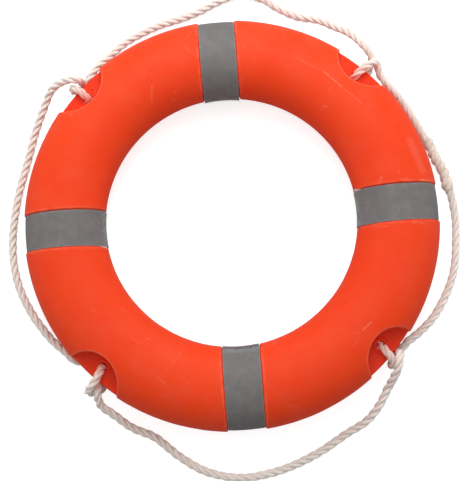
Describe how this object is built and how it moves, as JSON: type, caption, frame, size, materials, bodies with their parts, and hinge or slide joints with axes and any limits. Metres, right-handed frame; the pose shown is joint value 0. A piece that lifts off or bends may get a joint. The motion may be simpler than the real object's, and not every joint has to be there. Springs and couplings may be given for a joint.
{
  "type": "ring lifebuoy",
  "caption": "Foam-filled rigid ring lifebuoy with reflective tape bands and a rope grab line laced through eyes set in pockets round its outer edge.",
  "frame": {"origin": "centre of the ring's box, on the plane its rear face rests on", "axes": "+Z along the ring's axis, from the rear face to the front face; the reflective bands sit on the X and Y axes and the line's eyes on the diagonals"},
  "size_m": [0.8062, 0.8838, 0.105],
  "materials": {
    "orange_shell": "satin orange-red moulded polyethylene, lightly scuffed",
    "foam": "rigid closed-cell foam",
    "grey_tape": "dull grey reflective tape with fine grain",
    "tape_backing": "matt off-white tape backing",
    "white_rope": "off-white three-strand laid rope, slightly fuzzy"
  },
  "bodies": {
    "root": {"front_shell": "orange_shell", "rear_shell": "orange_shell", "foam_core": "foam", "fill_plug": "orange_shell", "vent_plug": "orange_shell", "band_backing_right": "tape_backing", "band_backing_top": "tape_backing", "band_backing_left": "tape_backing", "band_backing_bottom": "tape_backing", "band_tape_right": "grey_tape", "band_tape_top": "grey_tape", "band_tape_left": "grey_tape", "band_tape_bottom": "grey_tape", "line_bottom": "white_rope", "line_left": "white_rope", "line_top": "white_rope", "line_right": "white_rope", "line_splice": "white_rope"}
  },
  "joints": []
}
